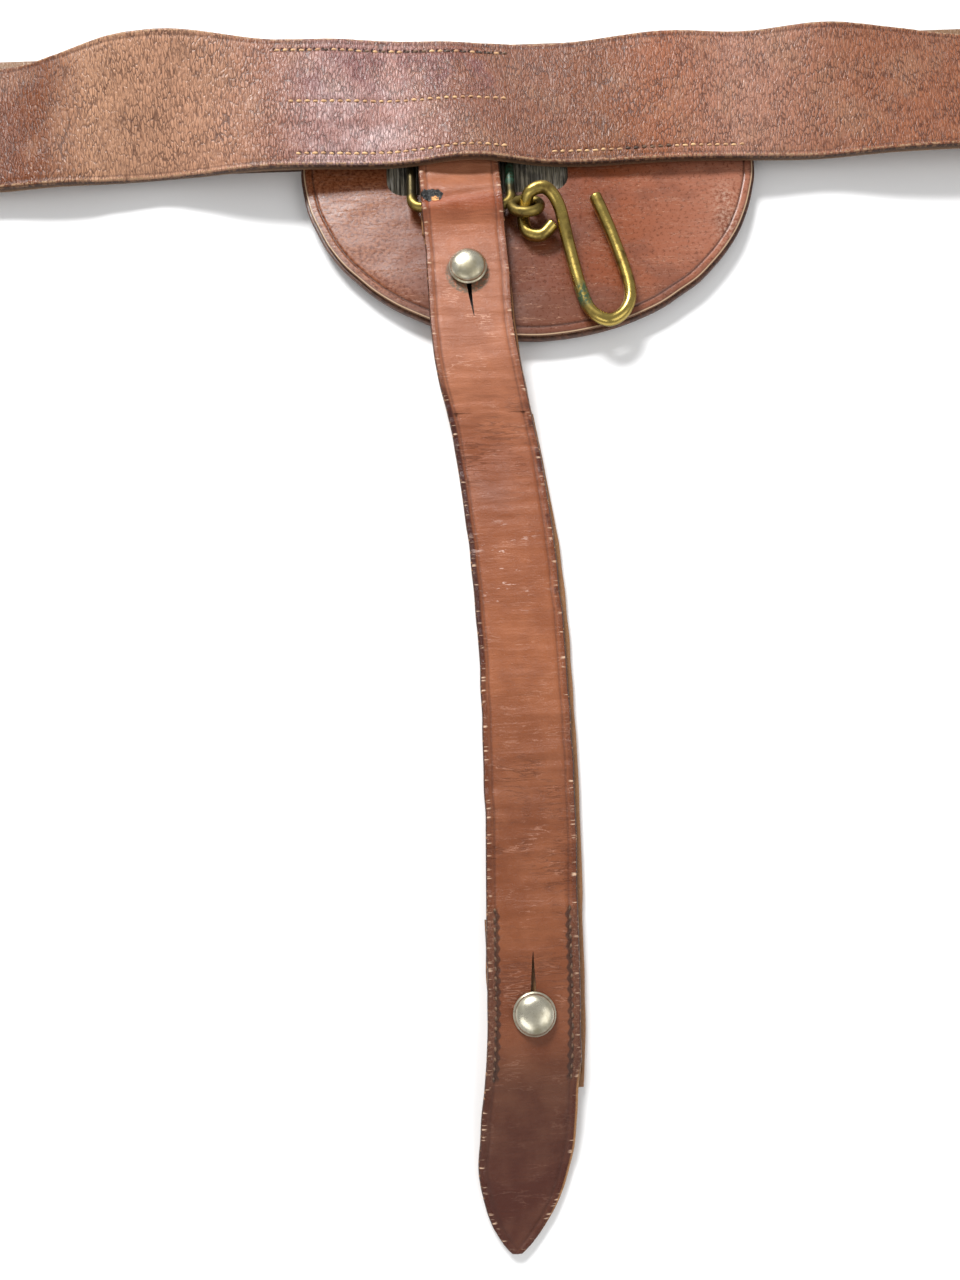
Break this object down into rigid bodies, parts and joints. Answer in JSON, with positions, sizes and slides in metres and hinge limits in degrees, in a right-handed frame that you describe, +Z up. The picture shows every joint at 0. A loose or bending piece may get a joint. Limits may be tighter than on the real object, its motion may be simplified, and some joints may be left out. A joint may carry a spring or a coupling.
{
  "type": "leather sword belt",
  "caption": "Folded leather waist belt with half-moon guard, brass hanger ring and hook, and a doubled sling strap closed by two dome studs.",
  "frame": {"origin": "on the table under the belt, on the belt's centre line where the sling hangs", "axes": "+X along the belt towards its fold, +Y towards the belt's upper edge, +Z up off the table"},
  "size_m": [0.503, 0.355, 0.0229],
  "materials": {
    "belt_leather": "pebbled tan-brown leather, semi-gloss, wrinkled",
    "guard_leather": "smooth glossy red-brown leather, scratched",
    "guard_edge_leather": "dark smooth leather",
    "sling_leather": "red-brown bridle leather with cross wrinkles",
    "sling_back_leather": "raw-edged tan leather",
    "ribbed_lining": "ribbed grey-black webbing",
    "light_thread": "waxed cream thread",
    "dark_thread": "waxed dark brown thread",
    "aged_brass": "aged brass with dark patina",
    "aged_nickel": "worn nickel plate"
  },
  "bodies": {
    "belt": {"belt": "belt_leather", "belt_fold": "belt_leather", "belt_tail": "belt_leather", "keeper_fixed": "belt_leather", "chape_stitching": "light_thread", "hanger_patch": "belt_leather", "ring_tab": "guard_leather", "patch_stitching": "light_thread", "guard_front": "guard_leather", "guard_backing": "guard_edge_leather", "guard_lining": "ribbed_lining", "guard_stitching": "light_thread", "hanger_ring": "aged_brass", "sling_loop": "sling_leather"},
    "keeper": {"keeper_sliding": "belt_leather"},
    "buckle": {"buckle_frame": "aged_brass"},
    "prong": {"buckle_prong": "aged_brass"},
    "hook": {"hook": "aged_brass"},
    "sling_upper": {"sling_front_upper": "sling_leather", "sling_rear_upper": "sling_back_leather", "upper_stud": "aged_nickel", "upper_stud_screw": "aged_nickel"},
    "sling_lower": {"sling_front_lower": "sling_leather", "sling_rear_lower": "sling_back_leather", "buttonhole_patch": "sling_back_leather", "sling_stitching": "dark_thread", "lower_stud": "aged_nickel", "lower_stud_screw": "aged_nickel"}
  },
  "joints": [
    {"name": "sling_lift", "type": "hinge", "parent": "belt", "child": "sling_upper", "pos_m": [0.0015, -0.042, 0.0103], "axis": [-1, 0, 0], "range_deg": [0, 85]},
    {"name": "sling_bend", "type": "hinge", "parent": "sling_upper", "child": "sling_lower", "pos_m": [0.0125, -0.16, 0.0041], "axis": [-1, 0, 0], "range_deg": [0, 100]},
    {"name": "hook_swivel", "type": "hinge", "parent": "belt", "child": "hook", "pos_m": [0.0202, -0.0356, 0.0102], "axis": [-0.2241, -0.8365, -0.5], "range_deg": [0, 70]},
    {"name": "buckle_tilt", "type": "hinge", "parent": "belt", "child": "buckle", "pos_m": [-0.245, 0, 0.006], "axis": [0, 1, 0], "range_deg": [0, 45]},
    {"name": "prong_lift", "type": "hinge", "parent": "buckle", "child": "prong", "pos_m": [-0.245, 0, 0.006], "axis": [0, 1, 0], "range_deg": [0, 75]},
    {"name": "keeper_slide", "type": "slide", "parent": "belt", "child": "keeper", "axis": [1, 0, 0], "range_m": [0, 0.016]}
  ]
}
